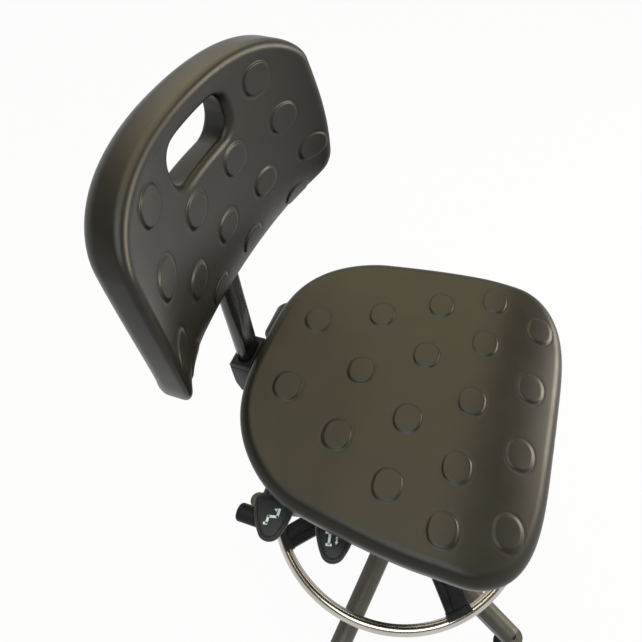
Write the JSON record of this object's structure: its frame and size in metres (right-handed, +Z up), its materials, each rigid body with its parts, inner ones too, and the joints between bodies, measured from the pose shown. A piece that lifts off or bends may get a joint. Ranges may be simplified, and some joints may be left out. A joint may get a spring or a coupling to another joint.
{
  "type": "high industrial work chair",
  "caption": "High swivel work chair: dotted black polyurethane seat and backrest with a hand slot, gas lift, lever paddles and chrome foot ring.",
  "frame": {"origin": "floor point under the column axis", "axes": "+Z up, the sitter faces -Y, +X to the sitter's left, levers on -X"},
  "size_m": [0.6263, 0.6269, 1.0637],
  "materials": {
    "black_moulding": "satin black moulded plastic",
    "skin_foam": "black self-skinned polyurethane with a soft sheen",
    "chrome_tube": "polished chrome",
    "black_steel": "gloss black powder coat",
    "bare_steel": "zinc-plated steel",
    "board": "plywood"
  },
  "bodies": {
    "base": {"base_star": "black_moulding", "glide_1": "black_moulding", "glide_2": "black_moulding", "glide_3": "black_moulding", "glide_4": "black_moulding", "glide_5": "black_moulding", "stand_tube": "black_steel", "tube_floor_plate": "bare_steel", "thrust_bearing": "bare_steel", "guide_bush": "black_moulding"},
    "foot_ring": {"ring_tube": "chrome_tube", "ring_spider": "black_moulding"},
    "ring_clamp": {"ring_knob": "black_moulding"},
    "rod": {"piston_rod": "chrome_tube", "retaining_clip": "bare_steel"},
    "seat": {"gas_cylinder": "black_steel", "taper_socket": "black_steel", "mechanism_pan": "black_steel", "pivot_axle": "bare_steel", "seat_plate": "black_steel", "seat_bolts": "bare_steel", "seat_board": "board", "seat_cushion": "skin_foam"},
    "valve": {"valve_pin": "bare_steel"},
    "lift_lever": {"lift_rod": "bare_steel", "lift_paddle": "black_moulding"},
    "back_lever": {"back_rod": "bare_steel", "back_paddle": "black_moulding"},
    "tilt_lever": {"tilt_rod": "bare_steel", "tilt_grip": "black_moulding"},
    "carrier": {"back_arm": "black_steel", "stem_box": "black_moulding"},
    "height_clamp": {"height_knob": "black_moulding"},
    "backrest": {"back_stem": "black_steel", "stem_plug": "black_moulding", "back_plate": "black_steel", "back_bolts": "bare_steel", "back_cushion": "skin_foam"}
  },
  "joints": [
    {"name": "ring_height", "type": "slide", "parent": "base", "child": "foot_ring", "axis": [0, 0, 1], "range_m": [-0.1, 0.1]},
    {"name": "ring_clamp_turn", "type": "hinge", "parent": "foot_ring", "child": "ring_clamp", "pos_m": [0.06, 0, 0.2854], "axis": [1, 0, 0], "continuous": true},
    {"name": "swivel", "type": "hinge", "parent": "base", "child": "rod", "pos_m": [0, 0, 0.087], "axis": [0, 0, 1], "continuous": true},
    {"name": "seat_height", "type": "slide", "parent": "rod", "child": "seat", "axis": [0, 0, 1], "range_m": [-0.11, 0.12]},
    {"name": "valve_press", "type": "slide", "parent": "seat", "child": "valve", "axis": [0, 0, -1], "range_m": [0, 0.0049]},
    {"name": "lift_lever_pull", "type": "hinge", "parent": "seat", "child": "lift_lever", "pos_m": [-0.0572, 0.05, 0.603], "axis": [0, 1, 0], "range_deg": [0, 4.5], "stiffness_Nm_per_rad": 12},
    {"name": "back_lever_pull", "type": "hinge", "parent": "seat", "child": "back_lever", "pos_m": [-0.0572, 0.134, 0.603], "axis": [0, 1, 0], "range_deg": [0, 4.5], "stiffness_Nm_per_rad": 12},
    {"name": "tilt_lever_turn", "type": "hinge", "parent": "seat", "child": "tilt_lever", "pos_m": [-0.1, 0.149, 0.587], "axis": [1, 0, 0], "range_deg": [-25, 0]},
    {"name": "recline", "type": "hinge", "parent": "seat", "child": "carrier", "pos_m": [0, 0.112, 0.594], "axis": [-1, 0, 0], "range_deg": [0, 14]},
    {"name": "height_clamp_turn", "type": "hinge", "parent": "carrier", "child": "height_clamp", "pos_m": [0.05, 0.229, 0.606], "axis": [1, 0, 0], "continuous": true},
    {"name": "back_height", "type": "slide", "parent": "carrier", "child": "backrest", "axis": [0, 0, 1], "range_m": [-0.03, 0.04]}
  ],
  "couplings": [
    {"joint": "valve_press", "follows": "lift_lever_pull", "m_per_rad": 0.061}
  ]
}
